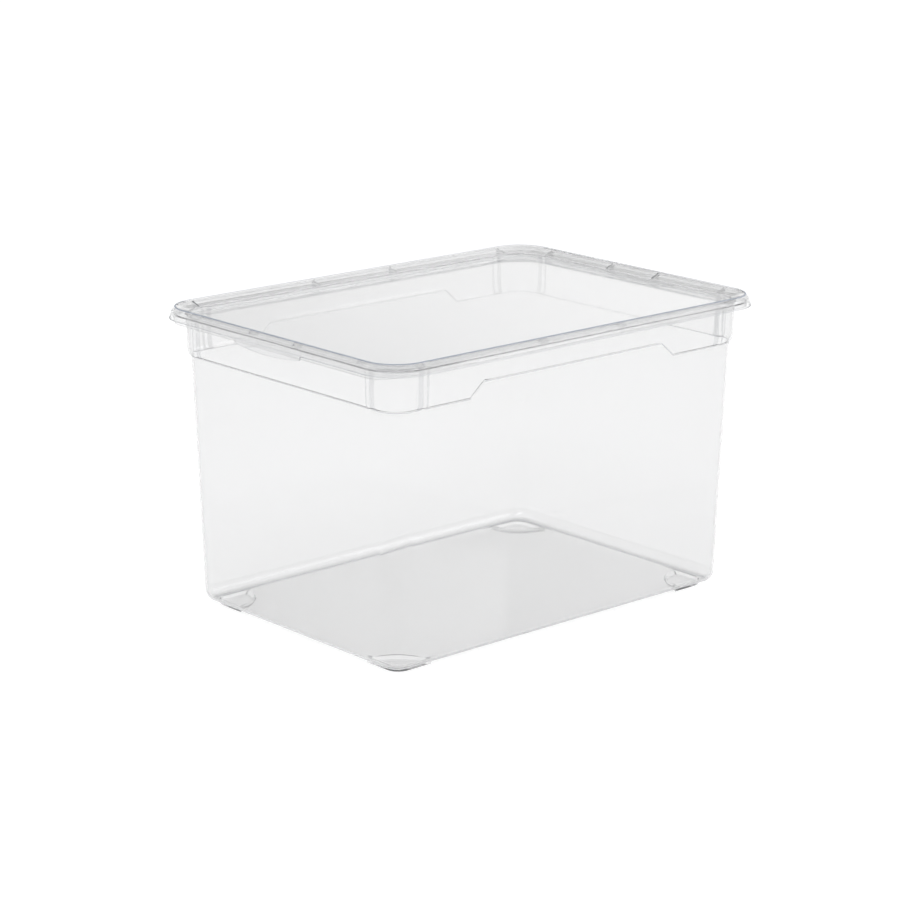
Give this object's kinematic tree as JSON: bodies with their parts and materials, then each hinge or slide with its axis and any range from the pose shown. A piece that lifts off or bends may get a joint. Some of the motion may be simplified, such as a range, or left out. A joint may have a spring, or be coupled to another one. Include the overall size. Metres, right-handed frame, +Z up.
{
  "type": "stackable storage bin",
  "caption": "Clear moulded storage bin with a lift-off lid whose sunken panel takes the feet of the bin stacked on it.",
  "frame": {"origin": "centre of the base, on the plane of the feet", "axes": "+X along the long side, +Y along the short side, +Z up"},
  "size_m": [0.55, 0.4, 0.34],
  "materials": {
    "clear_tub": "clear polypropylene, glossy, faintly milky",
    "clear_lid": "clear polypropylene, glossy, faintly bluish at the edges"
  },
  "bodies": {
    "tub": {"tub": "clear_tub"},
    "lid": {"lid": "clear_lid"}
  },
  "joints": [
    {"name": "lid_lift", "type": "slide", "parent": "tub", "child": "lid", "axis": [0, 0, 1], "range_m": [0, 0.4]}
  ]
}
